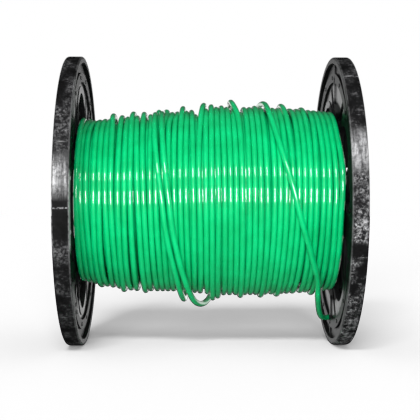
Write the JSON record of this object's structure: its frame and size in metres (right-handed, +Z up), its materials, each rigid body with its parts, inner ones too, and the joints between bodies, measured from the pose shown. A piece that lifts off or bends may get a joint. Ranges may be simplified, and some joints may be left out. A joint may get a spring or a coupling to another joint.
{
  "type": "wire spool",
  "caption": "Black plastic wire spool with round windowed flanges, a barrel, an arbor bore and a loose winding of green insulated wire.",
  "frame": {"origin": "middle of the arbor bore's axis, halfway between the two rims", "axes": "+X along the spool's axis, towards the flange that holds the wire's outer end; +Z up; -Y towards the viewer"},
  "size_m": [0.159, 0.165, 0.165],
  "materials": {
    "flange_plastic": "scuffed black moulded plastic",
    "barrel_fibre": "spirally wound grey-brown fibreboard",
    "zinc_steel": "bright zinc plating",
    "wire_jacket": "glossy green nylon over vinyl",
    "copper_wire": "bare drawn copper"
  },
  "bodies": {
    "root": {"left_flange": "flange_plastic", "right_flange": "flange_plastic", "barrel_tube": "barrel_fibre", "tie_bolts": "zinc_steel", "head_washers": "zinc_steel", "nut_washers": "zinc_steel", "hex_nuts": "zinc_steel", "inner_winding": "wire_jacket", "outer_winding": "wire_jacket", "leaning_turn": "wire_jacket", "loose_loop": "wire_jacket", "free_tail": "wire_jacket", "tail_conductor": "copper_wire", "start_lead": "wire_jacket", "start_conductor": "copper_wire"}
  },
  "joints": []
}
